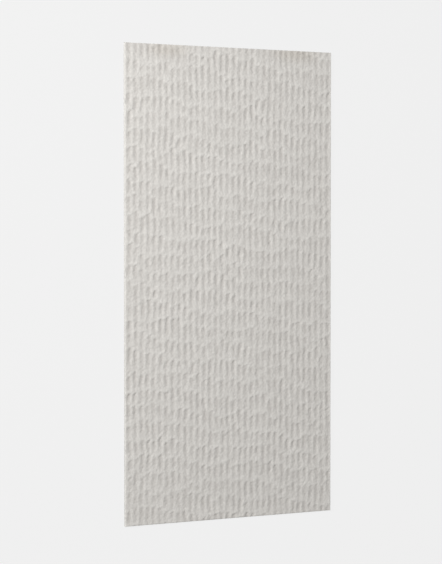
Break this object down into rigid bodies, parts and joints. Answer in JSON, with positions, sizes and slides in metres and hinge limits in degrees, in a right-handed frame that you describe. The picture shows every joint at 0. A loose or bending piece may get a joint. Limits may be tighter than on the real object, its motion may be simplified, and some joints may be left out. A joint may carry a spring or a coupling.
{
  "type": "wall panel tile",
  "caption": "Thin moulded wall panel tile with a hand-chiselled stone face: straight flutes side by side, tooled in short strokes, over a plain flat back for adhesive.",
  "frame": {"origin": "middle of the flat back face, which is the floor that the tile lies on", "axes": "+X across the flutes, +Y along the flutes towards the head of the tile, where each stroke begins, +Z out of the tooled face"},
  "size_m": [0.6, 1.2, 0.005],
  "materials": {
    "mineral_sheet": "matte, off-white, fine sandy grit"
  },
  "bodies": {
    "root": {"panel": "mineral_sheet"}
  },
  "joints": []
}
